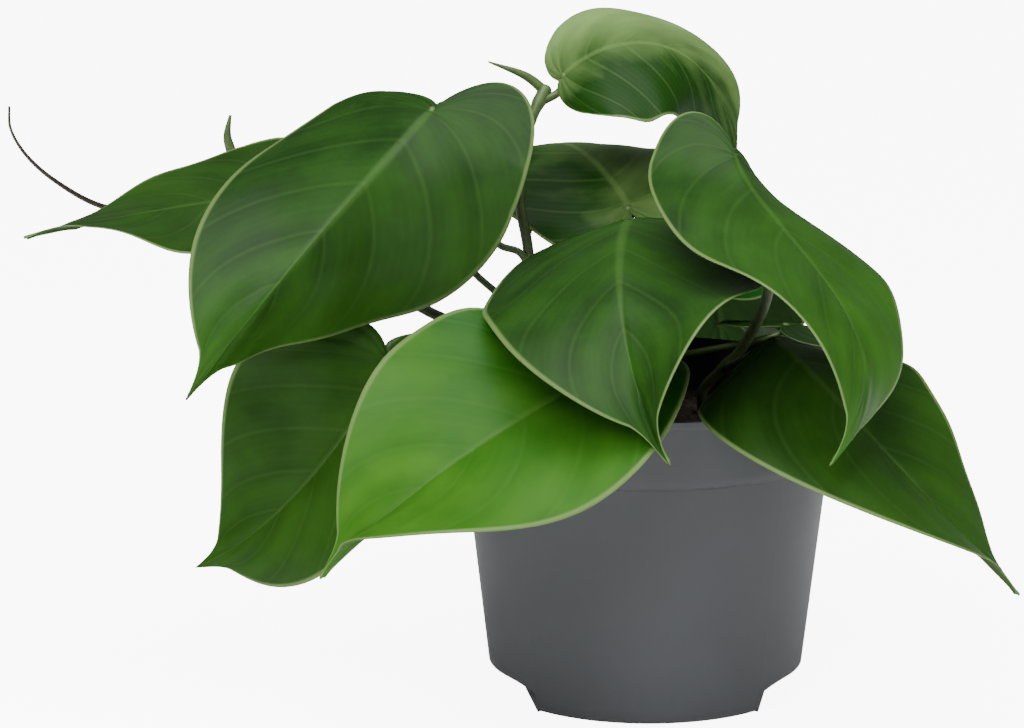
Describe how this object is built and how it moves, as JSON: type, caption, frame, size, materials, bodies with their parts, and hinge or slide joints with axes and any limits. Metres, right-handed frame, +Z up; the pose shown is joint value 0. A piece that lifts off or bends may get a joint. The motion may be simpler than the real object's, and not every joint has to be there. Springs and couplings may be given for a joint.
{
  "type": "potted heartleaf philodendron",
  "caption": "Young heartleaf philodendron with glossy heart-shaped leaves on trailing vines, growing in soil in a plain dark grey plastic nursery pot.",
  "frame": {"origin": "middle of the pot's underside, on the surface that the pot stands on", "axes": "+Z up, -Y toward the side that the picture shows, +X to that side's right"},
  "size_m": [0.3147, 0.2316, 0.2097],
  "materials": {
    "pot_plastic": "matt dark grey with a faint moulded grain",
    "soil": "crumbly dark brown potting mix",
    "stem": "smooth, green going brown",
    "leaf_dark": "satin, dark green with pale veins",
    "leaf_mid": "satin, mid green with pale veins",
    "leaf_bright": "satin, bright green with pale veins",
    "leaf_pale": "glossy, pale fresh green"
  },
  "bodies": {
    "root": {"pot": "pot_plastic", "soil": "soil", "vine_left": "stem", "vine_left_back": "stem", "vine_centre": "stem", "vine_right": "stem", "vine_front": "stem", "vine_back": "stem", "leaf_top": "leaf_pale", "leaf_hanging": "leaf_mid", "leaf_centre": "leaf_mid", "leaf_behind_centre": "leaf_pale", "leaf_left_large": "leaf_mid", "leaf_left_back": "leaf_dark", "leaf_left_low": "leaf_dark", "leaf_front_low": "leaf_bright", "leaf_right_low": "leaf_dark", "leaf_back_left": "leaf_mid", "leaf_back_middle": "leaf_bright", "leaf_back_right": "leaf_mid", "leaf_back_high": "leaf_mid"}
  },
  "joints": []
}
